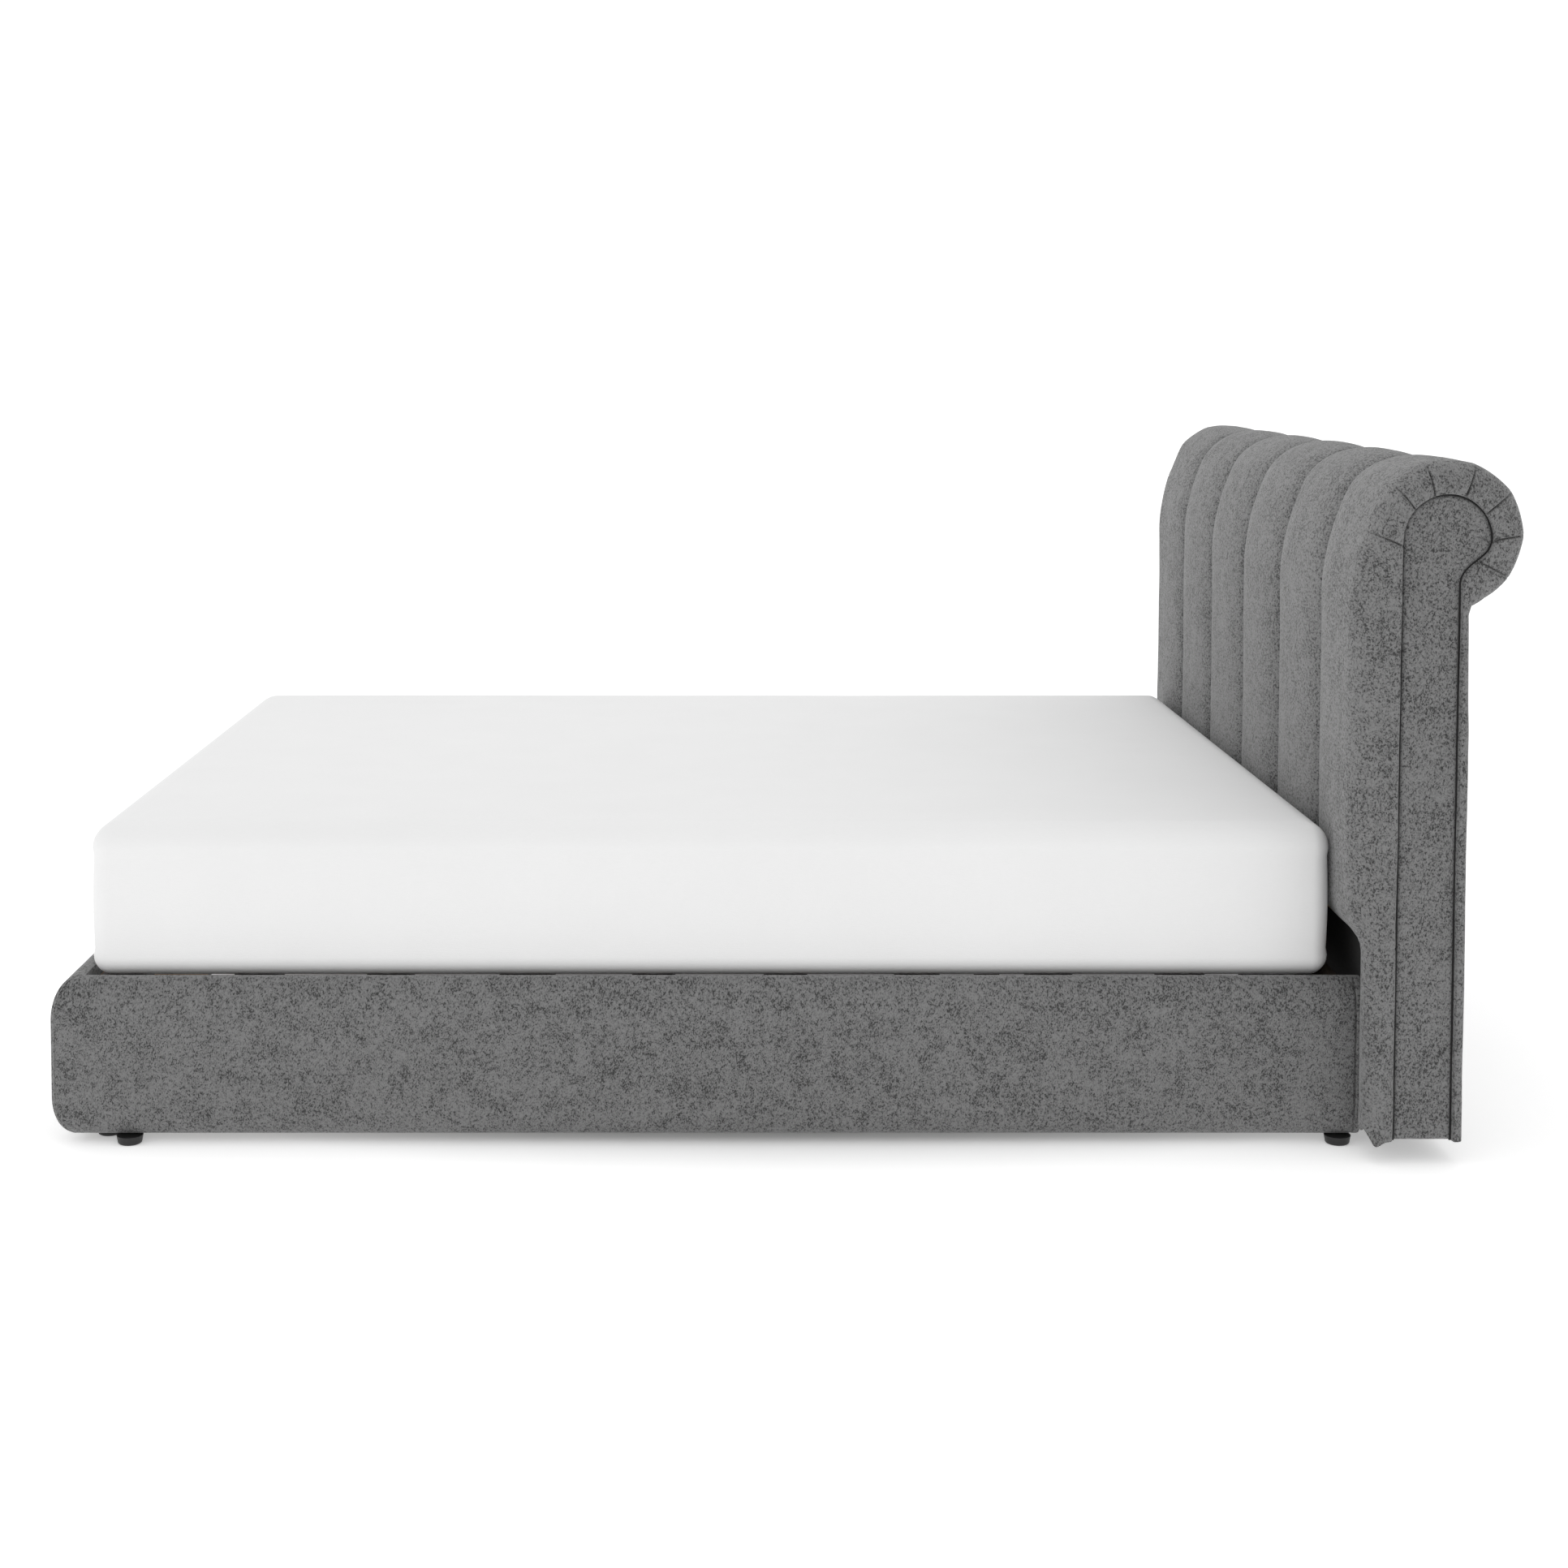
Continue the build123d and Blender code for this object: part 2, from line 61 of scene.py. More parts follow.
SIDE_X = border_hi.x
FRONT_Y, PAD_BOTTOM, TOP_Z = pad_lo.y, pad_lo.z, pad_hi.z
ROLL_Y, ROLL_Z = (stretcher_lo.y + stretcher_hi.y) / 2, (stretcher_lo.z + stretcher_hi.z) / 2
ROLL_R = TOP_Z - ROLL_Z
REAR_Y, NOTCH_Z = back_hi.y, back_hi.z
HEAD_LOW = inset_lo.z
RECESS_Y = lower_lo.y
CHANNEL_W = pad_hi.x - pad_lo.x
SEAM_FRONT_Y = inset_lo.y
HEAD_R = (inset_hi.y - inset_lo.y) / 2
HEAD_Y, HEAD_Z = inset_lo.y + HEAD_R, inset_hi.z - HEAD_R

# ---- sizes of the soft shapes, in metres --------------------------------------------------------
SWEEP_Z = 0.870                 # the headboard's front is upright up to here
LEG_Y = 0.930                   # front of the padded edge below the channels
LEG_INNER_X = 0.812             # where the border's front strip starts, beside the rail
SEAM_REAR_Y = 1.065             # rear edge of the flat side panel
LIP_Y, LIP_H = 0.940, 0.062     # the channels' rounded lower ends: depth and height
BLEND_LOW = 0.030               # the border's front edge swings back this far below the channels
DART_Z = 0.344                  # a short dart sewn across the border
POINT_Y = 0.945                 # the folded point at the border's lower end
VALLEY = 0.0115                 # how deep the channel seams lie below the crowns
ROLL_VALLEY = 0.0085            # the same over the roll
FLANK = 0.0062                  # extra depth within the last centimetre before a seam
TUCK = 0.0035                   # how far each channel's edge turns in at its seam
EDGE_GAP = 0.0006               # half the gap between neighbouring channels
PLEAT_R = 0.0017                # half-width of a pleat's groove along the outline
MAX_FLAT = 0.0042               # how far the cover is drawn flat between two pleats, at most
FIRST_PLEAT_Z = 1.000
PLEAT_ANGLES = (139, 109, 70, 35, -1, -37)
PANEL_SINK = 0.0085             # flat side panel below the padded border
BACKING_IN = 0.018              # inner face of the border's cover, in from the side


# ---- mesh helpers ------------------------------------------------------------------------------
def make_object(name, verts, faces, material, sharp=40):
    """A mesh object with smooth faces, outward normals and sharp edges above an angle in degrees."""
    mesh = bpy.data.meshes.new(name)
    mesh.from_pydata([tuple(map(float, v)) for v in verts], [], faces)
    bm = bmesh.new()
    bm.from_mesh(mesh)
    bmesh.ops.remove_doubles(bm, verts=bm.verts, dist=1e-5)
    bmesh.ops.dissolve_degenerate(bm, edges=bm.edges, dist=1e-6)
    bmesh.ops.recalc_face_normals(bm, faces=bm.faces)
    bm.to_mesh(mesh)
    bm.free()
    mesh.polygons.foreach_set("use_smooth", [True] * len(mesh.polygons))
    mesh.set_sharp_from_angle(angle=math.radians(sharp))
    mesh.materials.append(material)
    obj = bpy.data.objects.new(name, mesh)
    scene.collection.objects.link(obj)
    return obj


def quads(rows, columns, start=0, wrap=False, flip=False):
    """Quads of a grid of points numbered row by row; wrap joins the last column to the first."""
    faces = []
    for i in range(rows - 1):
        for j in range(columns if wrap else columns - 1):
            a, b = start + i * columns + j, start + i * columns + (j + 1) % columns
            face = (a, b, b + columns, a + columns)
            faces.append(face[::-1] if flip else face)
    return faces


def shell(name, outer, inner, material, sharp=40):
    """A closed shell between two grids of points of the same shape."""
    rows, columns, _ = outer.shape
    n = rows * columns
    faces = quads(rows, columns) + quads(rows, columns, n, flip=True)
    for i in range(rows - 1):
        for j in (0, columns - 1):
            a, b = i * columns + j, (i + 1) * columns + j
            faces.append((a, b, b + n, a + n))
    for j in range(columns - 1):
        for i in (0, rows - 1):
            a, b = i * columns + j, i * columns + j + 1
            faces.append((a, b, b + n, a + n))
    verts = np.concatenate([outer.reshape(-1, 3), inner.reshape(-1, 3)])
    return make_object(name, verts, faces, material, sharp)


def prism(name, rings, material, sharp=40):
    """Closed rings of points joined one to the next, with a flat face over each end."""
    rows, columns, _ = rings.shape
    faces = quads(rows, columns, wrap=True)
    faces.append(tuple(range(columns)))
    faces.append(tuple((rows - 1) * columns + j for j in range(columns)))
    return make_object(name, rings.reshape(-1, 3), faces, material, sharp)


def ripple(points, size, seed=0.0):
    """Smooth noise of about -1 to 1 at each point, with features of the given size."""
    shift = Vector((seed, seed * 1.7, -seed))
    flat = points.reshape(-1, 3)
    values = [noise.noise(Vector(p) / size + shift) for p in flat]
    return np.array(values).reshape(points.shape[:-1])


def smooth_step(t):
    """Eases from 0 to 1 as t does, level at both ends."""
    t = np.clip(t, 0, 1)
    return t * t * (3 - 2 * t)


def place(obj, body, slot, *nodes):
    """Rides on a body and stands for CAD nodes; the slot is not used."""
    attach(obj, body)
    if nodes:
        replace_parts(obj, *nodes)
    return obj


# ---- materials ---------------------------------------------------------------------------------
class Shader:
    """A Principled material with a few short calls for its nodes."""

    def __init__(self, name, roughness=0.8, metallic=0.0):
        self.material = bpy.data.materials.new(name)
        self.material.use_nodes = True
        self.tree = self.material.node_tree
        self.base = self.tree.nodes["Principled BSDF"]
        self.base.inputs["Roughness"].default_value = roughness
        self.base.inputs["Metallic"].default_value = metallic
        self.coords = self.node("ShaderNodeTexCoord").outputs["Object"]

    def node(self, kind, **values):
        """A new node of a kind, with some of its properties set."""
        made = self.tree.nodes.new(kind)
        for key, value in values.items():
            setattr(made, key, value)
        return made

    def link(self, source, target):
        self.tree.links.new(source, target)

    def stretched(self, scale, turn=(0, 0, 0)):
        """The object's coordinates, turned by degrees and scaled differently along X, Y and Z."""
        mapping = self.node("ShaderNodeMapping")
        mapping.inputs["Scale"].default_value = scale
        mapping.inputs["Rotation"].default_value = [math.radians(angle) for angle in turn]
        self.link(self.coords, mapping.inputs["Vector"])
        return mapping.outputs["Vector"]

    def noise(self, scale, detail=2.0, roughness=0.5, vector=None):
        """Noise from 0 to 1 over the object's coordinates, or over another vector."""
        made = self.node("ShaderNodeTexNoise")
        made.inputs["Scale"].default_value = scale
        made.inputs["Detail"].default_value = detail
        made.inputs["Roughness"].default_value = roughness
        self.link(vector or self.coords, made.inputs["Vector"])
        return made.outputs["Fac"]

    def weighted(self, *terms):
        """The sum of value * weight over (value, weight) pairs."""
        total = None
        for value, weight in terms:
            scaled = self.node("ShaderNodeMath", operation="MULTIPLY")
            self.link(value, scaled.inputs[0])
            scaled.inputs[1].default_value = weight
            if total is None:
                total = scaled.outputs[0]
                continue
            added = self.node("ShaderNodeMath", operation="ADD")
            self.link(total, added.inputs[0])
            self.link(scaled.outputs[0], added.inputs[1])
            total = added.outputs[0]
        return total

    def ramp(self, value, *stops):
        """Base colour from a value, through (position, grey or colour) stops in linear light."""
        made = self.node("ShaderNodeValToRGB")
        ramp = made.color_ramp
        while len(ramp.elements) < len(stops):
            ramp.elements.new(0.5)
        for element, (position, colour) in zip(ramp.elements, stops):
            element.position = position
            rgb = (colour,) * 3 if isinstance(colour, (int, float)) else colour
            element.color = (*rgb, 1)
        self.link(value, made.inputs["Fac"])
        self.link(made.outputs["Color"], self.base.inputs["Base Color"])

    def bump(self, height, distance, strength=1.0):
        """Surface relief from a value, with its depth in metres."""
        made = self.node("ShaderNodeBump")
        made.inputs["Distance"].default_value = distance
        made.inputs["Strength"].default_value = strength
        self.link(height, made.inputs["Height"])
        self.link(made.outputs["Normal"], self.base.inputs["Normal"])

    def rough(self, value, low, high):
        """Roughness that follows a value between two ends."""
        made = self.node("ShaderNodeMapRange")
        made.inputs["To Min"].default_value = low
        made.inputs["To Max"].default_value = high
        self.link(value, made.inputs["Value"])
        self.link(made.outputs["Result"], self.base.inputs["Roughness"])

    def sheen(self, weight, roughness=0.5):
        """Soft brightening of fibres at grazing angles."""
        self.base.inputs["Sheen Weight"].default_value = weight
        self.base.inputs["Sheen Roughness"].default_value = roughness


def shade(colour, factor):
    """A colour made darker or lighter."""
    return tuple(part * factor for part in colour)


def upholstery(name, dark, light, grain):
    """Brushed, heathered grey weave; grain scales the yarn along X, Y and Z."""
    s = Shader(name, roughness=0.95)
    along = s.stretched(grain, (35, 0, 0))
    speckle = s.noise(460, 2, 0.65, along)
    yarn = s.noise(1000, 1, 0.5, along)
    mottle = s.noise(165, 3, 0.65)
    blotch = s.noise(30, 3, 0.6)
    cloud = s.noise(7, 2, 0.5)
    tone = s.weighted((speckle, 0.43), (yarn, 0.08), (mottle, 0.31), (blotch, 0.13), (cloud, 0.05))
    s.ramp(tone, (0.43, dark), (0.488, (dark + 2 * light) / 3), (0.56, light))
    s.bump(s.weighted((speckle, 0.6), (yarn, 0.5), (mottle, 0.4)), 0.0022, 0.7)
    s.sheen(0.30, 0.40)
    s.base.inputs["Specular IOR Level"].default_value = 0.15
    return s.material


def cotton(name, colour):
    """Fine smooth sheeting: a plain weave of crossing threads, with faint pressing marks."""
    s = Shader(name, roughness=0.85)
    warp = s.noise(900, 1, 0.5, s.stretched((1, 0.12, 1)))
    weft = s.noise(900, 1, 0.5, s.stretched((0.12, 1, 1)))
    soft = s.noise(7, 3, 0.5)
    tone = s.weighted((warp, 0.3), (weft, 0.3), (soft, 0.4))
    s.ramp(tone, (0.3, shade(colour, 0.965)), (0.7, colour))
    s.bump(s.weighted((warp, 0.5), (weft, 0.5), (soft, 1.5)), 0.0006, 0.4)
    s.sheen(0.08, 0.5)
    s.base.inputs["Specular IOR Level"].default_value = 0.2
    return s.material


def timber(name, grain, dark, light):
    """Planed softwood with the grain along the axis that grain stretches."""
    s = Shader(name, roughness=0.6)
    along = s.stretched(grain)
    rings = s.noise(26, 4, 0.55, along)
    pores = s.noise(240, 2, 0.6, along)
    patch = s.noise(3.5, 2, 0.5)
    s.ramp(s.weighted((rings, 0.55), (pores, 0.25), (patch, 0.2)), (0.36, dark), (0.64, light))
    s.bump(s.weighted((rings, 0.4), (pores, 0.6)), 0.0006, 0.5)
    s.rough(pores, 0.5, 0.75)
    return s.material


def plain(name, colour, roughness, metallic=0.0, size=900, depth=0.0002, spread=0.08):
    """Moulded plastic, coated steel or plated steel, with its fine surface grain."""
    s = Shader(name, roughness=roughness, metallic=metallic)
    grain = s.noise(size, 2, 0.6)
    wear = s.noise(18, 4, 0.6)
    tone = s.weighted((grain, 0.5), (wear, 0.5))
    s.ramp(tone, (0.3, shade(colour, 0.8)), (0.7, shade(colour, 1.15)))
    s.bump(grain, depth, 0.6)
    s.rough(wear, roughness - spread, roughness + spread)
    return s.material


DARK_GREY, LIGHT_GREY = 0.046, 0.213
fabric = upholstery("grey_weave", DARK_GREY, LIGHT_GREY, (0.33, 1, 0.7))
sheet_white = cotton("sheet_cotton", (0.84, 0.84, 0.84))
ticking_knit = cotton("ticking_knit", (0.72, 0.72, 0.70))
pine_x = timber("pine_across", (0.06, 1, 1), (0.42, 0.27, 0.14), (0.66, 0.47, 0.28))
pine_z = timber("pine_upright", (1, 1, 0.06), (0.42, 0.27, 0.14), (0.66, 0.47, 0.28))
# Dark stain on the frame's hidden timber: painted shade, darkening the gap below the mattress's head end
# where shadow falls.
STAIN_SHADE_DARK, STAIN_SHADE_LIGHT = (0.030, 0.023, 0.018), (0.075, 0.058, 0.045)
stain_shade_x = timber("stain_shade_across", (0.06, 1, 1), STAIN_SHADE_DARK, STAIN_SHADE_LIGHT)
stain_shade_y = timber("stain_shade_along", (1, 0.06, 1), STAIN_SHADE_DARK, STAIN_SHADE_LIGHT)
stain_shade_z = timber("stain_shade_upright", (1, 1, 0.06), STAIN_SHADE_DARK, STAIN_SHADE_LIGHT)
plywood = timber("plywood", (0.10, 1, 0.10), (0.40, 0.27, 0.15), (0.58, 0.43, 0.27))
# Near-black cords laid along the seams: painted shade, darkening the creases where shadow falls.
seam_shadow_black = plain("painted_seam_shadow", (0.012, 0.012, 0.012), 0.9, size=1200, depth=0.0003, spread=0.04)
black_plastic = plain("black_plastic", (0.012, 0.012, 0.012), 0.42)
black_steel = plain("black_powder_coat", (0.016, 0.016, 0.016), 0.5, size=500, depth=0.0004)
zinc = plain("zinc_plate", (0.55, 0.55, 0.53), 0.36, metallic=1.0, size=300)
# Black non-woven: the dust cover's own colour, and painted shade on the lower front cover, whose recess
# is only in shadow.
black_felt_and_shade = plain("black_nonwoven_and_shade", (0.012, 0.012, 0.012), 0.9, size=260, depth=0.0008, spread=0.04)


# ---- the headboard's outline -------------------------------------------------------------------
def refined(angles, centres, radius):
    """Angles with closely spaced ones added round each crease, in metres of arc at a radius."""
    spread = np.array([0.0008, 0.0016, 0.0026, 0.0040, 0.0056]) / radius
    kept = [a for a in angles if all(abs(a - c) > 0.0068 / radius for c in centres)]
    for c in centres:
        kept += [c, *(c + spread), *(c - spread)]
    return sorted(kept, reverse=True)


def head_stations():
    """Walks round the headboard's side outline, from the front foot over the roll to the rear foot.

    Gives, for each station: the crown point and outward normal of the channels, the point where
    the side border starts, the point of the side panel's seam that belongs to it, the name of its
    stretch, and whether a pleat is sewn there.
    """
    crown, normal, corner, seam, stretch, creased = [], [], [], [], [], []

    def add(kind, p, n, q, c=None, crease=False):
        crown.append(p)
        normal.append(n)
        seam.append(q)
        corner.append(c or p)
        stretch.append(kind)
        creased.append(crease)

    def edge_y(z):
        """The border's front edge below and beside the channels' lower ends."""
        share = (z - PAD_BOTTOM + BLEND_LOW) / (LIP_H + BLEND_LOW)
        return LEG_Y + (FRONT_Y - LEG_Y) * float(smooth_step(share))

    for z in reversed(refined(np.linspace(HEAD_LOW, PAD_BOTTOM, 34)[:-1], [DART_Z], 1)):
        add("leg", (edge_y(z), z), (-1, 0), (SEAM_FRONT_Y, z))
    for a in np.linspace(0, math.pi / 2, 16):
        depth = LIP_Y - FRONT_Y
        y, z = LIP_Y - depth * math.sin(a), PAD_BOTTOM + LIP_H * (1 - math.cos(a))
        n = Vector((-LIP_H * math.sin(a), -depth * math.cos(a))).normalized()
        add("lip", (y, z), tuple(n), (SEAM_FRONT_Y, z), (edge_y(z), z))
    for z in np.linspace(PAD_BOTTOM + LIP_H, SWEEP_Z, 34)[1:-1]:
        add("upright", (FRONT_Y, z), (-1, 0), (SEAM_FRONT_Y, z))

    reach, rise = ROLL_Y - FRONT_Y, TOP_Z - SWEEP_Z
    sweep_r = (reach**2 + (rise - ROLL_R) ** 2 - ROLL_R**2) / (2 * (reach - ROLL_R))
    sweep_y = FRONT_Y + sweep_r
    meet = math.atan2(ROLL_Z - SWEEP_Z, ROLL_Y - sweep_y)
    straight, bend = HEAD_Z - SWEEP_Z, HEAD_R * (math.pi - meet)
    first = [math.pi - math.asin((FIRST_PLEAT_Z - SWEEP_Z) / sweep_r)]
    for a in refined(np.linspace(math.pi, meet, 60)[:-1], first, sweep_r):
        n = (math.cos(a), math.sin(a))
        run = (math.pi - a) / (math.pi - meet) * (straight + bend)
        if run < straight:
            q = (SEAM_FRONT_Y, SWEEP_Z + run)
        else:
            turn = math.pi - (run - straight) / HEAD_R
            q = (HEAD_Y + HEAD_R * math.cos(turn), HEAD_Z + HEAD_R * math.sin(turn))
        add("sweep", (sweep_y + sweep_r * n[0], SWEEP_Z + sweep_r * n[1]), n, q, crease=a in first)

    end = -math.acos((REAR_Y - ROLL_Y) / ROLL_R)
    neck = panel_neck()
    pleats = [math.radians(angle) for angle in PLEAT_ANGLES]
    for a in refined(np.linspace(meet, end, 150), pleats, ROLL_R):
        n = (math.cos(a), math.sin(a))
        if a >= 0:
            q = (HEAD_Y + HEAD_R * n[0], HEAD_Z + HEAD_R * n[1])
        else:
            q = neck(a / end)
        add("roll", (ROLL_Y + ROLL_R * n[0], ROLL_Z + ROLL_R * n[1]), n, q, crease=a in pleats)
    neck_low = neck(1.0)[1]
    for z in np.linspace(NOTCH_Z, HEAD_LOW, 44)[1:]:
        lift = (neck_low - NOTCH_Z) * max(0.0, 1 - (NOTCH_Z - z) / 0.12)
        add("rear", (REAR_Y, z), (1, 0), (SEAM_REAR_Y, z + lift))
    return [np.array(values) for values in (crown, normal, corner, seam, stretch, creased)]


def panel_neck():
    """The hollow below the side panel's round head, as a curve from its rear to the straight edge."""
    points = [
        Vector((HEAD_Y + HEAD_R, HEAD_Z)), Vector((HEAD_Y + 0.068, HEAD_Z - 0.034)),
        Vector((HEAD_Y + 0.024, HEAD_Z - 0.036)), Vector((SEAM_REAR_Y, HEAD_Z - 0.070)),
    ]

    def at(t):
        a, b, c, d = points
        p = a * (1 - t) ** 3 + 3 * b * t * (1 - t) ** 2 + 3 * c * t * t * (1 - t) + d * t**3
        return (p.x, p.y)

    return at


crown, normal, corner, seam, stretch, creased = head_stations()
PADDED = (stretch == "lip") | (stretch == "upright") | (stretch == "sweep") | (stretch == "roll")


def smoothed(values, reach=9):
    """A running mean along the stations, so that neighbouring stretches run into each other."""
    kernel = np.ones(2 * reach + 1) / (2 * reach + 1)
    padded = np.concatenate([np.full(reach, values[0]), values, np.full(reach, values[-1])])
    return np.convolve(padded, kernel, "valid")


def by_stretch(**values):
    """One value per station, given by stretch and run together where the stretches meet."""
    return smoothed(np.array([values[k] for k in stretch]))


valley = by_stretch(
    leg=VALLEY, lip=VALLEY, upright=VALLEY,
    sweep=(VALLEY + ROLL_VALLEY) / 2, roll=ROLL_VALLEY, rear=ROLL_VALLEY,
)
inside = by_stretch(leg=0.026, lip=0.026, upright=0.026, sweep=0.022, roll=0.0192, rear=0.0192)
corner_x = by_stretch(leg=0.866, lip=0.842, upright=0.818, sweep=0.826, roll=0.842, rear=0.889)
corner_share = by_stretch(leg=0.58, lip=0.70, upright=0.84, sweep=0.92, roll=0.96, rear=0.62)


turned = np.degrees(np.arctan2(crown[:, 1] - ROLL_Z, crown[:, 0] - ROLL_Y))
toward_rear = smooth_step((115 - turned) / 75) * (stretch == "roll")
corner_x = corner_x + 0.028 * toward_rear
corner_share = corner_share - 0.12 * toward_rear


def sewn_depth(i, u):
    """How far the cover lies below the crown: u runs from 0 at mid-channel to 1 at its seam."""
    return valley[i] * u**2.7 + FLANK * u**14 * (valley[i] / VALLEY)


def station_point(i, x, depth):
    """A point of the channels at station i, at x, a depth below the crown."""
    y, z = crown[i] - normal[i] * depth
    return (x, y, z)


def soften(points, along, amount=0.0012):
    """Gives padded fabric its slight unevenness, along each station's normal."""
    bumps = ripple(points, 0.11) * amount + ripple(points, 0.035, 3.1) * amount * 0.3
    points[..., 1] += bumps * along[:, None, 0]
    points[..., 2] += bumps * along[:, None, 1]
    return points


def middle_channel(number):
    """One padded channel between two sewn seams."""
    index = np.flatnonzero(PADDED)
    x0 = -SIDE_X + (number - 1) * CHANNEL_W
    share = (1 - np.cos(np.linspace(0, math.pi, 33))) / 2
    outer, inner = [], []
    for i in index:
        row, under = [], []
        for k, t in enumerate(share):
            x = x0 + EDGE_GAP + (CHANNEL_W - 2 * EDGE_GAP) * t
            depth = sewn_depth(i, abs(2 * t - 1))
            if k in (0, len(share) - 1):
                depth += TUCK
            row.append(station_point(i, x, depth))
            under.append(station_point(i, x, inside[i]))
        outer.append(row)
        inner.append(under)
    outer = soften(np.array(outer), normal[index])
    return shell(f"channel_{number}", outer, np.array(inner), fabric)


def pleat_shape():
    """At each station: how near it is to a pleat, and how far the cover is drawn flat between two."""
    steps = np.linalg.norm(np.diff(crown, axis=0), axis=1)
    arc = np.concatenate([[0], np.cumsum(steps)])
    at = arc[creased]
    groove = sum(np.exp(-(((arc - a) / PLEAT_R) ** 2)) for a in at)
    flat = np.zeros(len(arc))
    for a, b in zip(at, at[1:]):
        share = np.clip((arc - a) / (b - a), 0, 1)
        sag = ROLL_R * (1 - math.cos((b - a) / ROLL_R / 2))
        flat += 4 * share * (1 - share) * min(sag * 0.7, MAX_FLAT)
    return groove, flat


def end_channel(side, name):
    """The outermost channel, which wraps round the corner and runs down the side as a border."""
    groove, between = pleat_shape()
    dart = np.exp(-(((crown[:, 1] - DART_Z) / 0.0018) ** 2)) * (stretch == "leg")
    seam_x = SIDE_X - CHANNEL_W
    middle_x = SIDE_X - CHANNEL_W / 2
    front_t = (1 - np.cos(np.linspace(0, math.pi / 2, 26)))
    round_t = np.linspace(0, math.pi / 2, 13)[1:]
    side_t = np.linspace(0, 1, 13)[1:]
    outer, inner = [], []
    for i in range(len(crown)):
        p, c, q = crown[i], corner[i], seam[i]
        row, under = [], []
        cx, share = corner_x[i], corner_share[i]
        for k, t in enumerate(front_t):
            if stretch[i] == "leg":
                turn = t * math.pi / 2
                x = LEG_INNER_X + (cx - LEG_INNER_X) * (1 - math.cos(turn))
                y = RECESS_Y + (c[0] - RECESS_Y) * math.sin(turn)
                row.append((x, y, c[1]))
                under.append((min(x + 0.004, SIDE_X - BACKING_IN), RECESS_Y + 0.003, c[1]))
                continue
            if stretch[i] == "rear":
                x = 0.862 + (cx - 0.862) * t
                row.append((x, REAR_Y - 0.0015 * (1 - t), c[1]))
                under.append((x, REAR_Y - 0.009, c[1]))
                continue
            x = seam_x + EDGE_GAP + (cx - seam_x - EDGE_GAP) * t
            depth = sewn_depth(i, max(0.0, (middle_x - x) / (CHANNEL_W / 2)))
            if k == 0:
                depth += TUCK
            depth += between[i] * float(smooth_step((x - 0.77) / (cx - 0.77))) * 0.4
            y, z = p - normal[i] * depth
            if stretch[i] == "lip":
                mix = float(smooth_step((x - 0.775) / (cx - 0.775)))
                y, z = y + (c[0] - y) * mix, z + (c[1] - z) * mix
            row.append((x, y, z))
            y, z = p - normal[i] * inside[i]
            under.append((min(x, SIDE_X - BACKING_IN), y, z))
        span = q - c
        for turn in round_t:
            g = share * (1 - math.cos(turn))
            x = cx + (SIDE_X - cx) * math.sin(turn)
            weight = math.sin(turn)
            y, z = c + span * g
            draw = between[i] * (0.4 + 0.6 * weight) * math.sqrt(1 - g) + 0.0045 * groove[i] * weight
            y, z = y - normal[i][0] * draw, z - normal[i][1] * draw
            row.append((x - 0.0080 * groove[i] * weight**2, y, z))
            under.append((SIDE_X - BACKING_IN, *(c + span * max(g, 0.35))))
        for t in side_t:
            g = share + (1 - share) * t
            fall = max(0.0, (t - 0.55) / 0.45) ** 2.4 * 0.0085
            x = SIDE_X - fall - (groove[i] * 0.0080 + dart[i] * 0.0050 * t) * (1 - 0.4 * t)
            draw = between[i] * math.sqrt(1 - g)
            row.append((x, *(c + span * min(g, 0.997) - normal[i] * draw)))
            under.append((SIDE_X - BACKING_IN, *(c + span * min(g, 0.985))))
        row.append((SIDE_X - 0.0135, *(c + span * 1.0)))
        under.append((SIDE_X - BACKING_IN, *(c + span * 1.0)))
        outer.append(row)
        inner.append(under)
    outer, inner = np.array(outer), np.array(inner)
    # The border's lower end is folded to a soft point that hangs a little below the panel.
    low = np.exp(-((outer[..., 2] - HEAD_LOW) / 0.012) ** 2) * (outer[..., 1] < SEAM_FRONT_Y - 0.004)
    toward = np.exp(-(((outer[..., 1] - POINT_Y) / 0.010) ** 2))
    front = np.clip((POINT_Y - 0.002 - outer[..., 1]) / 0.012, 0, 1)
    outer[..., 2] += low * (front * 0.014 - toward * (HEAD_LOW - border_lo.z))
    outer[..., 0] += ripple(outer, 0.09, 5.0) * 0.0008 * (outer[..., 0] > 0.85)
    outer = soften(outer, normal, 0.0010)
    outer[..., 0] = np.minimum(outer[..., 0], SIDE_X + 0.002)
    outer[..., 0] *= side
    inner[..., 0] *= side
    return shell(name, outer, inner, fabric)


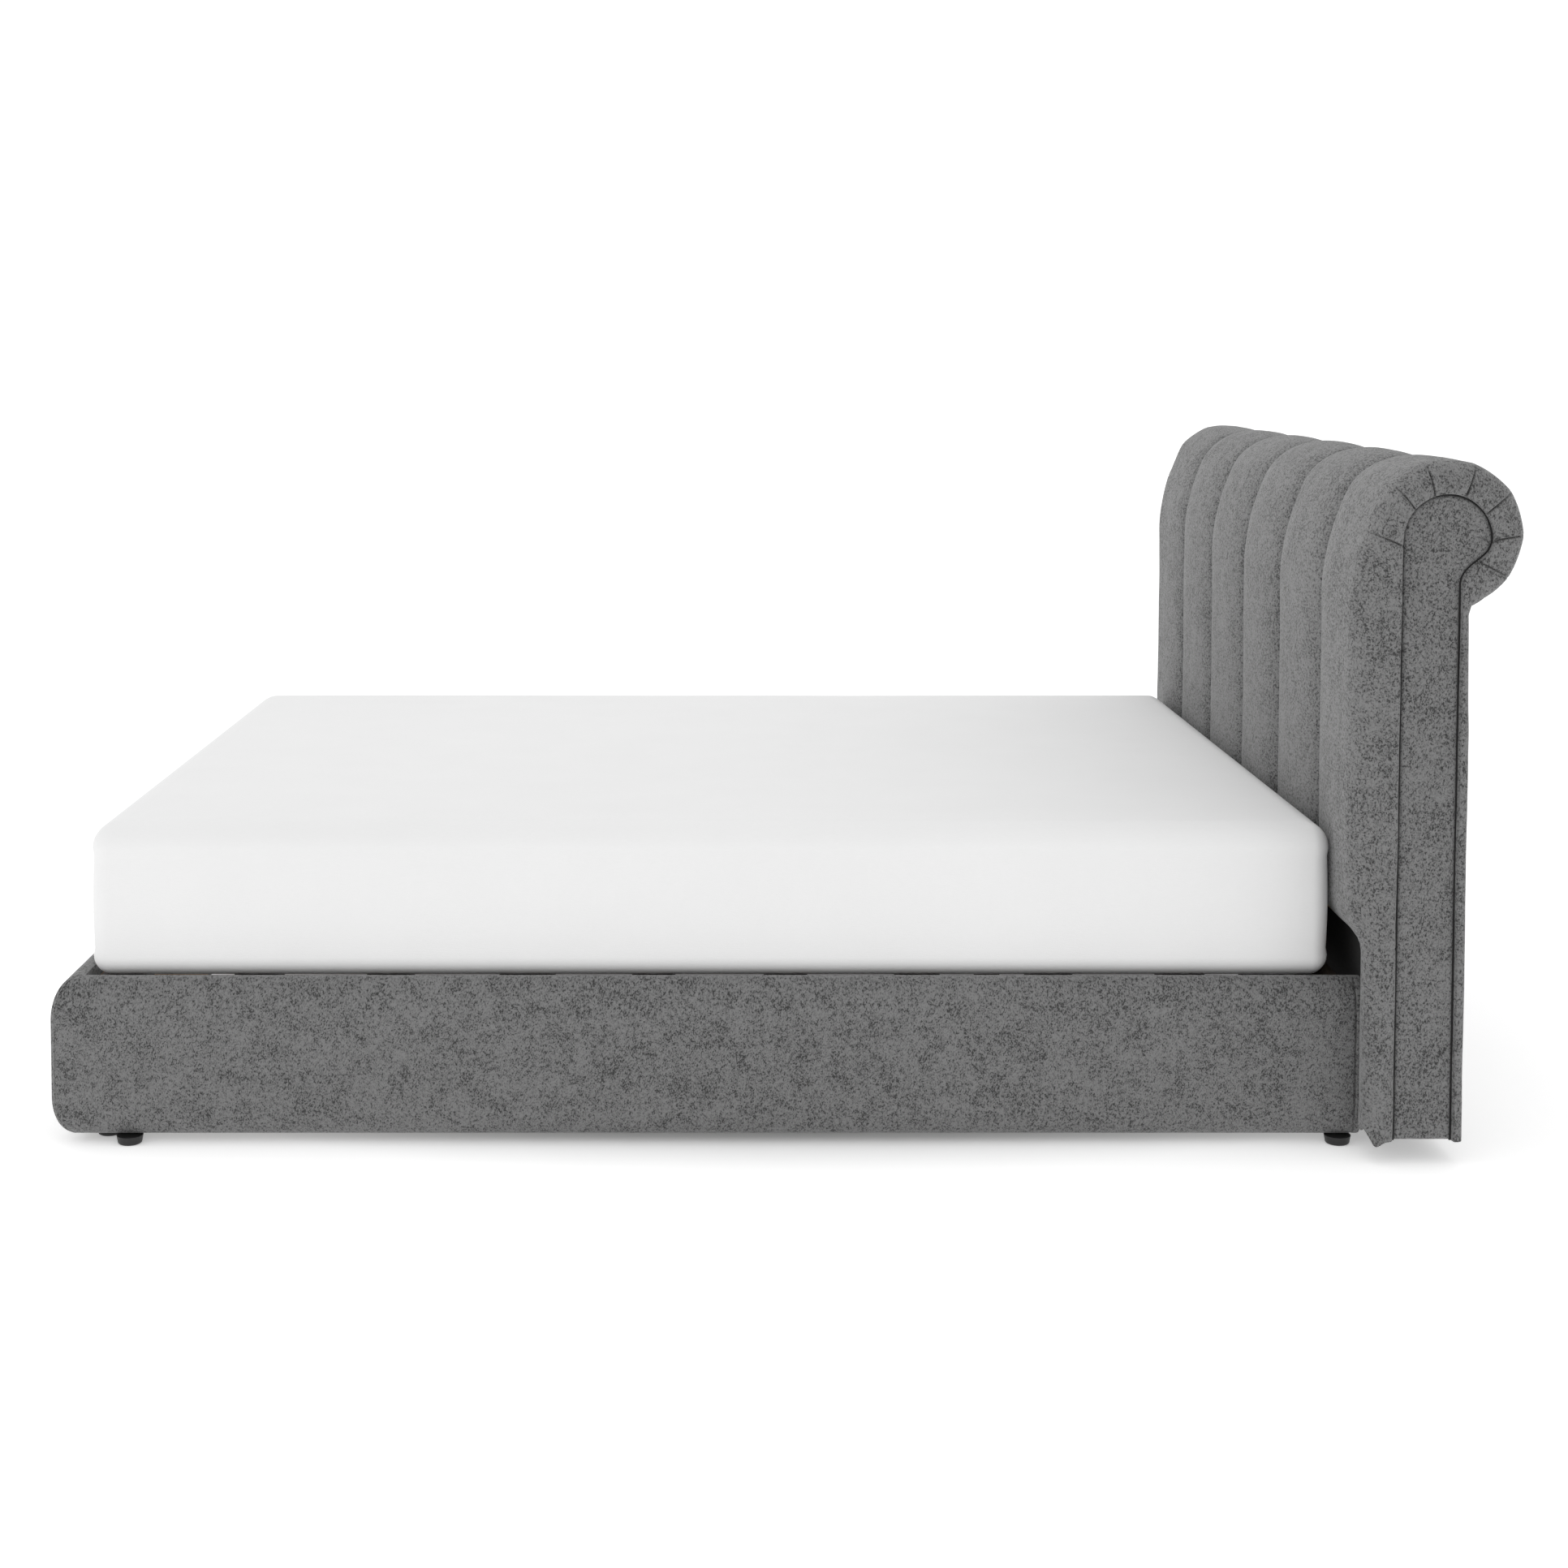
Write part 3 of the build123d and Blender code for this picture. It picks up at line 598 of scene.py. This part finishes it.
def side_panel(side, name):
    """The flat scroll-shaped panel in each border: its edge turns down into the seam."""
    neck = np.array([panel_neck()(t) for t in np.linspace(1, 0, 24)])
    near = np.array([0, 0.0006, 0.0018, 0.0036, 0.006, 0.009])
    straight = np.linspace(HEAD_LOW + 0.014, neck[0, 1], 60)[:-1]
    rows = [(z, SEAM_FRONT_Y, SEAM_REAR_Y) for z in np.concatenate([HEAD_LOW + near, straight])]
    rows += [(z, SEAM_FRONT_Y, y) for y, z in neck[:-1]]
    for a in np.linspace(0, math.pi / 2, 30):
        half = HEAD_R * math.cos(a)
        rows.append((HEAD_Z + HEAD_R * math.sin(a), HEAD_Y - half, HEAD_Y + half))
    share = (1 - np.cos(np.linspace(0, math.pi, 31))) / 2
    grid = np.array([[(0, y0 + (y1 - y0) * t, z) for t in share] for z, y0, y1 in rows])
    rim = np.concatenate([grid[:, 0, 1:], grid[:, -1, 1:], grid[0, :, 1:]])
    flat = grid[..., 1:].reshape(-1, 2)
    edge = np.array([np.hypot(*(rim - p).T).min() for p in flat]).reshape(grid.shape[:2])
    sink = PANEL_SINK + 0.0075 * np.clip(1 - edge / 0.0065, 0, 1) ** 2
    outer, inner = grid.copy(), grid.copy()
    outer[..., 0] = SIDE_X - sink + ripple(grid, 0.12, 8.0) * 0.0005
    inner[..., 0] = SIDE_X - 0.0178
    for half in (outer, inner):
        half[..., 0] *= side
    return shell(name, outer, inner, fabric, 60)


def tube(name, path, radius, material):
    """A thin round cord along a path, with closed ends."""
    path = np.array(path)
    ahead = np.gradient(path, axis=0)
    ahead /= np.linalg.norm(ahead, axis=1)[:, None]
    side = np.cross(ahead, [1.0, 0, 0])
    side /= np.linalg.norm(side, axis=1)[:, None]
    up = np.cross(ahead, side)
    turns = np.linspace(0, 2 * math.pi, 9)[:-1]
    rings = np.array([path + radius * (math.cos(a) * side + math.sin(a) * up) for a in turns])
    return prism(name, rings.transpose(1, 0, 2), material, 180)


def panel_shadow_cord(side, name):
    """A near-black cord along the seam between the flat side panel and the padded border: painted shade
    in the crease.
    """
    inward = np.gradient(seam, axis=0)[:, ::-1] * np.array([1, -1])
    inward /= np.maximum(np.linalg.norm(inward, axis=1), 1e-9)[:, None]
    path = [(side * (SIDE_X - 0.0122), *q) for q in thinned(seam + inward * 0.0012, 0.004)]
    return tube(name, path, 0.0021, seam_shadow_black)


def channel_seam_shadow(number):
    """A near-black cord at the bottom of the seam between two channels: painted shade in the crease."""
    x = -SIDE_X + (number - 1) * CHANNEL_W
    index = np.flatnonzero(PADDED)
    depth = valley[index] * (1 + FLANK / VALLEY) + TUCK * 0.3
    line = crown[index] - normal[index] * depth[:, None]
    return tube(f"channel_seam_shadow_{number - 1}", [(x, *q) for q in thinned(line, 0.006)], 0.0013, seam_shadow_black)


def thinned(points, spacing):
    """Keeps points at least a spacing apart."""
    kept = [points[0]]
    for p in points[1:]:
        if np.linalg.norm(p - kept[-1]) > spacing:
            kept.append(p)
    return kept


def flat_panel(name, x_half, z0, z1, y_face, y_back, out, material):
    """An upholstered board that faces -Y or +Y, with softly rounded edges."""
    us = (1 - np.cos(np.linspace(0, math.pi, 61))) / 2
    vs = (1 - np.cos(np.linspace(0, math.pi, 31))) / 2
    front, back = [], []
    for v in vs:
        row, under = [], []
        for u in us:
            x, z = -x_half + 2 * x_half * u, z0 + (z1 - z0) * v
            edge = min(x + x_half, x_half - x, z - z0, z1 - z)
            sink = 0.004 * max(0.0, 1 - edge / 0.010) ** 2
            row.append((x, y_face - out * sink, z))
            under.append((x, y_back, z))
        front.append(row)
        back.append(under)
    front = np.array(front)
    front[..., 1] -= out * (ripple(front, 0.3, 2.0) * 0.5 + 0.5) * 0.0012
    return shell(name, front, np.array(back), material)


for number in range(2, 6):
    place(middle_channel(number), BED, "upholstery", f"channel_pad_{number}")
# Painted shade: near-black cords darken the seams between channels.
for number in range(2, 7):
    place(channel_seam_shadow(number), BED, "upholstery")
ends = {6: (1, "left"), 1: (-1, "right")}
for number, (side, word) in ends.items():
    piece = end_channel(side, f"channel_{number}_and_border_{word}")
    place(piece, BED, "upholstery", f"channel_pad_{number}", f"side_border_{word}")
    place(side_panel(side, f"side_facing_{word}"), BED, "upholstery", f"side_panel_{word}")
    # Painted shade: a near-black cord darkens the side panel's seam.
    place(panel_shadow_cord(side, f"side_seam_shadow_{word}"), BED, "upholstery")
back = flat_panel("back_cover", 0.8615, back_lo.z, back_hi.z - 0.001, REAR_Y, back_lo.y, 1, fabric)
place(back, BED, "upholstery", "back_panel")
# Painted shade: the lower front cover is black to stand for the deep shadow in the recess between the
# legs.
lower = flat_panel(
    "lower_front_cover", 0.8495, lower_lo.z, PAD_BOTTOM - 0.001, RECESS_Y, lower_hi.y, -1, black_felt_and_shade
)
place(lower, BED, "dust_cover", "lower_front_panel")


# ---- rails -------------------------------------------------------------------------------------
RAIL_T = rail_hi.x - rail_lo.x
ROUND_OUT, ROUND_TOP, ROUND_LOW = 0.033, 0.065, 0.068
WRAP_T, WRAP_LOW = 0.0012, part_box("slat_ledger_left")[1].z + 0.0012


def rail_section():
    """Points round a rail's D-shaped section, as (distance out, height), from the inner top edge.

    The cover turns over the board's top edge and is tacked down its inner face, above the ledger.
    """
    flat = RAIL_T - ROUND_OUT
    top, low = rail_hi.z, rail_lo.z
    points = [(-WRAP_T, top - 0.004), (-0.0004, top - 0.0008)]
    points += [(u, top) for u in np.linspace(0.003, flat, 5)[:-1]]
    for a in np.linspace(math.pi / 2, 0, 19):
        points.append((flat + ROUND_OUT * math.cos(a), top - ROUND_TOP + ROUND_TOP * math.sin(a)))
    points += [(RAIL_T, z) for z in np.linspace(top - ROUND_TOP, low + ROUND_LOW, 12)[1:-1]]
    for a in np.linspace(0, -math.pi / 2, 19):
        points.append((flat + ROUND_OUT * math.cos(a), low + ROUND_LOW + ROUND_LOW * math.sin(a)))
    points += [(u, low) for u in np.linspace(flat, 0.001, 6)[1:]]
    points += [(0.001, WRAP_LOW), (-WRAP_T, WRAP_LOW)]
    return np.array(points)


def run_stations(length, fine_start, fine_end):
    """Distances along a rail, close together at its ends and about 13 mm apart between them."""
    near = np.array([0.0, 0.0012, 0.0028, 0.005, 0.008, 0.012, 0.017, 0.024])
    start = near if fine_start else np.array([0.0])
    end = length - near[::-1] if fine_end else length - np.linspace(0.06, 0, 41)
    middle = np.linspace(start[-1], end[0], int((end[0] - start[-1]) / 0.013))[1:-1]
    return np.concatenate([start, middle, end])


def mitre_sink(distance):
    """How far a cover turns in at the sewn corner seam, by the distance from it."""
    return 0.0052 * np.clip(1 - distance / 0.013, 0, 1) ** 2.2


def side_rail(side, name):
    """A padded side rail: taut fabric, mitred at the foot, with a sewn end seam at the headboard."""
    section = rail_section()
    out = np.clip((section[:, 0] - 0.004) / 0.02, 0, 1)
    y1 = rail_hi.y
    seam_y = y1 - 0.0125
    start = foot_hi.y - section[:, 0]
    rings = []
    full = y1 - foot_hi.y + RAIL_T
    for d in run_stations(full, True, False):
        y = start + (y1 - start) * d / full
        sink = mitre_sink(y - start)
        sink = sink + np.exp(-(((y - seam_y) / 0.0014) ** 2)) * 0.0034
        sink = sink + np.clip(1 - (y1 - y) / 0.004, 0, 1) * 0.0030
        fold = np.exp(-(((section[:, 1] - rail_hi.z + 0.03 + (seam_y - y) * 0.9) / 0.007) ** 2))
        fold = fold * smooth_step((y - (seam_y - 0.05)) / 0.03) * (y < seam_y)
        u = section[:, 0] + out * (fold * 0.0024 - sink)
        rings.append(np.column_stack([u, y, section[:, 1]]))
    rings = np.array(rings)
    sway = ripple(rings, 0.23, 1.0) * 0.0016 + ripple(rings, 0.06, 4.0) * 0.0005
    rings[..., 0] += sway * np.clip((rings[..., 0] - 0.006) / 0.03, 0, 1)
    rings[..., 0] = side * (rail_lo.x + rings[..., 0])
    return prism(name, rings, fabric, 50)


def foot_rail(name):
    """The padded rail across the foot: the same section, mitred and seamed at both corners."""
    section = rail_section()
    out = np.clip((section[:, 0] - 0.004) / 0.02, 0, 1)
    reach = rail_lo.x + section[:, 0]
    full = 2 * foot_hi.x
    rings = []
    for d in run_stations(full, True, True):
        x = reach * (2 * d / full - 1)
        sink = mitre_sink(reach - abs(x))
        rings.append(np.column_stack([x, foot_hi.y - section[:, 0] + out * sink, section[:, 1]]))
    rings = np.array(rings)
    sway = ripple(rings, 0.25, 7.0) * 0.0016 + ripple(rings, 0.06, 9.0) * 0.0005
    rings[..., 1] -= sway * np.clip((foot_hi.y - rings[..., 1] - 0.006) / 0.03, 0, 1)
    rings[..., 1] = np.maximum(rings[..., 1], foot_lo.y - 0.002)
    return prism(name, rings, fabric, 50)


for side, word in ((1, "left"), (-1, "right")):
    place(side_rail(side, f"side_rail_cover_{word}"), BED, "upholstery", f"side_rail_pad_{word}")
place(foot_rail("foot_rail_cover"), BED, "upholstery", "foot_rail_pad")


# ---- mattress ----------------------------------------------------------------------------------
CORNER_R, TOP_R, LOW_R = 0.030, 0.044, 0.034
SHEET_T = 0.0015
ELASTIC = 0.095                 # how far the sheet is drawn in below the mattress
MATTRESS_HALF_L = 1.009


def rounded_ring(inset, z, x_half, y0, y1):
    """A closed ring at height z: a rectangle with round corners, drawn in by inset."""
    r = max(CORNER_R - inset, 0.006)
    a, b = x_half - inset, (y1 - y0) / 2 - inset
    middle = (y0 + y1) / 2
    points = []
    corners = ((1, 1, 0), (-1, 1, 90), (-1, -1, 180), (1, -1, 270))
    for i, (sx, sy, start) in enumerate(corners):
        centre = Vector((sx * (a - r), sy * (b - r)))
        for t in np.radians(np.linspace(start, start + 90, 14)):
            points.append(centre + Vector((math.cos(t), math.sin(t))) * r)
        nx, ny, turn = corners[(i + 1) % 4]
        turn = math.radians(turn)
        first = Vector((nx * (a - r), ny * (b - r))) + Vector((math.cos(turn), math.sin(turn))) * r
        points += [points[-1].lerp(first, k / 30) for k in range(1, 30)]
    return np.array([(p.x, p.y + middle, z) for p in points])


def mattress_profile(inset):
    """(inset, height) pairs from the sheet's elastic below, up the side and in over the top."""
    z0, z1 = sheet_lo.z + inset, sheet_hi.z - inset
    low, top = LOW_R - inset, TOP_R - inset
    pairs = [(d, z0) for d in np.linspace(ELASTIC, inset + low, 6)[:-1]]
    for t in np.linspace(0, math.pi / 2, 9):
        pairs.append((inset + low * (1 - math.sin(t)), z0 + low * (1 - math.cos(t))))
    side_z = np.linspace(z0 + low, z1 - top, 16)
    pairs += [(inset + 0.0025 * (1 - math.sin(math.pi * k / 15)), z) for k, z in enumerate(side_z)][1:-1]
    for t in np.linspace(0, math.pi / 2, 12):
        pairs.append((inset + top * (1 - math.cos(t)), z1 - top * (1 - math.sin(t))))
    inner = sheet_hi.x - 0.012
    pairs += [(d, z1) for d in np.linspace(inset + top, inner, 26)[1:]]
    return pairs


def mattress_rings(inset):
    """The mattress's rounded rings, inside the sheet's box by inset."""
    pairs = mattress_profile(inset)
    return np.array([rounded_ring(d, z, sheet_hi.x, sheet_lo.y, sheet_hi.y) for d, z in pairs])


def fitted_sheet():
    """The stretched white sheet: smooth on top, drawn round the corners, gathered below."""
    outer, inner = (mattress_rings(inset) for inset in (0.0, SHEET_T))
    middle = Vector(((sheet_lo.x + sheet_hi.x) / 2, (sheet_lo.y + sheet_hi.y) / 2))
    height = (outer[..., 2] - sheet_lo.z) / (sheet_hi.z - sheet_lo.z)
    to_side = sheet_hi.x - abs(outer[..., 0])
    to_end = MATTRESS_HALF_L - abs(outer[..., 1] - middle.y)
    corner_near = np.clip(1 - np.hypot(to_side, to_end) / 0.28, 0, 1)
    pull = ripple(outer * np.array([1, 1, 0.25]), 0.05, 2.2) * 0.0016 * corner_near * (height < 0.9)
    soft = ripple(outer, 0.32, 6.0) * 0.0012 * (height > 0.97)
    away = outer[..., :2] - np.array(middle)
    away /= np.linalg.norm(away, axis=-1)[..., None]
    for grid in (outer, inner):
        grid[..., :2] += away * (pull - 0.0008)[..., None]
        grid[..., 2] += soft - 0.0010 * (height > 0.97)
    return closed_sheet("white_fitted_sheet", outer, inner)


def closed_sheet(name, outer, inner):
    """A thin closed cloth from two grids of rings, open below at the elastic."""
    rows, columns, _ = outer.shape
    n = rows * columns
    faces = quads(rows, columns, wrap=True) + quads(rows, columns, n, wrap=True, flip=True)
    for j in range(columns):
        k = (j + 1) % columns
        faces.append((j, k, k + n, j + n))
    last = (rows - 1) * columns
    faces.append(tuple(last + j for j in range(columns)))
    faces.append(tuple(n + last + j for j in reversed(range(columns))))
    verts = np.concatenate([outer.reshape(-1, 3), inner.reshape(-1, 3)])
    return make_object(name, verts, faces, sheet_white, 60)


def ticking_block():
    """The mattress inside the sheet, in knitted ticking."""
    gap = 0.0035
    under = rounded_ring(0.70, sheet_lo.z + gap, sheet_hi.x, sheet_lo.y, sheet_hi.y)
    rings = np.concatenate([under[None], mattress_rings(gap)])
    return prism("mattress_in_ticking", rings, ticking_knit, 60)


sheet = place(fitted_sheet(), MATTRESS, "white_sheet", "fitted_sheet")
ticking = place(ticking_block(), MATTRESS, "ticking", "mattress_ticking", "mattress_core")


# ---- CAD pieces that keep their shape ----------------------------------------------------------
FINISHES = (
    # Painted shade: the dark stain on ledgers, beam, rail boards, slats, legs and corner blocks darkens
    # the gap under the mattress's head end.
    (("slat_ledger", "centre_beam", "side_rail_board"), stain_shade_y),
    (("slat_",), stain_shade_x),
    (("foot_rail_board", "headboard_bottom", "headboard_middle", "headboard_top"), pine_x),
    (("headboard_rear_rails", "roll_stretcher"), pine_x),
    (("centre_leg", "corner_blocks"), stain_shade_z),
    (("headboard_post",), pine_z),
    (("headboard_end", "headboard_front_board", "roll_skin", "roll_formers"), plywood),
    (("headboard_dust_cover",), black_felt_and_shade),
    (("side_rail_feet", "corner_block_feet", "headboard_feet"), black_plastic),
    (("corner_brackets", "beam_stirrups"), black_steel),
    (("frame_bolts", "base_screws", "leg_inserts", "leveller"), zinc),
)
for node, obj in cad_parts.items():
    for starts, material in FINISHES:
        if node.startswith(starts):
            obj.data.materials.clear()
            obj.data.materials.append(material)
            break


# ---- floor, light and camera -------------------------------------------------------------------
def studio():
    """A white floor that glows except near the bed, a white backdrop and soft light from all round."""
    floor_mesh = bpy.data.meshes.new("studio_floor")
    reach = 40
    corners = [(-reach, -reach, 0), (reach, -reach, 0), (reach, reach, 0), (-reach, reach, 0)]
    floor_mesh.from_pydata(corners, [], [(0, 1, 2, 3)])
    floor = bpy.data.objects.new("studio_floor", floor_mesh)
    scene.collection.objects.link(floor)
    shader = Shader("studio_floor", roughness=0.9)
    shader.ramp(shader.noise(3, 2), (0.3, 0.92), (0.7, 0.94))
    shader.base.inputs["Specular IOR Level"].default_value = 0.0
    shader.base.inputs["Emission Color"].default_value = (1, 1, 1, 1)
    # Painted light and shadow: the floor glows, and glows less near the bed, a painted soft shadow round
    # it.
    spread = shader.stretched((1 / 0.95, 1 / 1.30, 1))
    away = shader.node("ShaderNodeVectorMath", operation="LENGTH")
    shader.link(spread, away.inputs[0])
    glow = shader.node("ShaderNodeMapRange")
    shader.link(away.outputs["Value"], glow.inputs["Value"])
    glow.inputs["From Min"].default_value = 0.72
    glow.inputs["From Max"].default_value = 1.02
    glow.inputs["To Min"].default_value = 0.10
    glow.inputs["To Max"].default_value = 0.36
    shader.link(glow.outputs["Result"], shader.base.inputs["Emission Strength"])
    floor_mesh.materials.append(shader.material)

    world = bpy.data.worlds.new("studio")
    scene.world = world
    world.use_nodes = True
    tree = world.node_tree
    lighting = tree.nodes["Background"]
    lighting.inputs["Color"].default_value = (1, 1, 1, 1)
    lighting.inputs["Strength"].default_value = 0.89
    backdrop = tree.nodes.new("ShaderNodeBackground")
    backdrop.inputs["Strength"].default_value = 1.1
    backdrop.inputs["Color"].default_value = (1, 1, 1, 1)
    seen = tree.nodes.new("ShaderNodeLightPath")
    mix = tree.nodes.new("ShaderNodeMixShader")
    tree.links.new(seen.outputs["Is Camera Ray"], mix.inputs["Fac"])
    tree.links.new(lighting.outputs["Background"], mix.inputs[1])
    tree.links.new(backdrop.outputs["Background"], mix.inputs[2])
    tree.links.new(mix.outputs["Shader"], tree.nodes["World Output"].inputs["Surface"])

    for name, place_at, aim, size, power in (
        ("key", (0.6, -4.6, 2.4), (0.0, 0.9, 0.7), 3.0, 14),
        ("top", (-0.4, 0.2, 4.2), (0.0, 0.2, 0.3), 3.5, 22),
    ):
        light = bpy.data.lights.new(name, "AREA")
        light.size, light.energy = size, power
        lamp = bpy.data.objects.new(name, light)
        lamp.location = place_at
        lamp.rotation_euler = (Vector(aim) - Vector(place_at)).to_track_quat("-Z", "Y").to_euler()
        scene.collection.objects.link(lamp)


def camera():
    """A level-headed side view from eye height, looking along -X and slightly down."""
    data = bpy.data.cameras.new("camera")
    data.lens, data.sensor_width = 56.33, 36
    data.shift_x, data.shift_y = 0.0444, -0.1823
    obj = bpy.data.objects.new("camera", data)
    obj.location = (4.6965, -0.0981, 1.2869)
    obj.rotation_euler = (math.radians(90 - 3.5), 0, math.radians(90))
    scene.collection.objects.link(obj)
    scene.camera = obj


studio()
camera()
scene.view_settings.view_transform = "Standard"
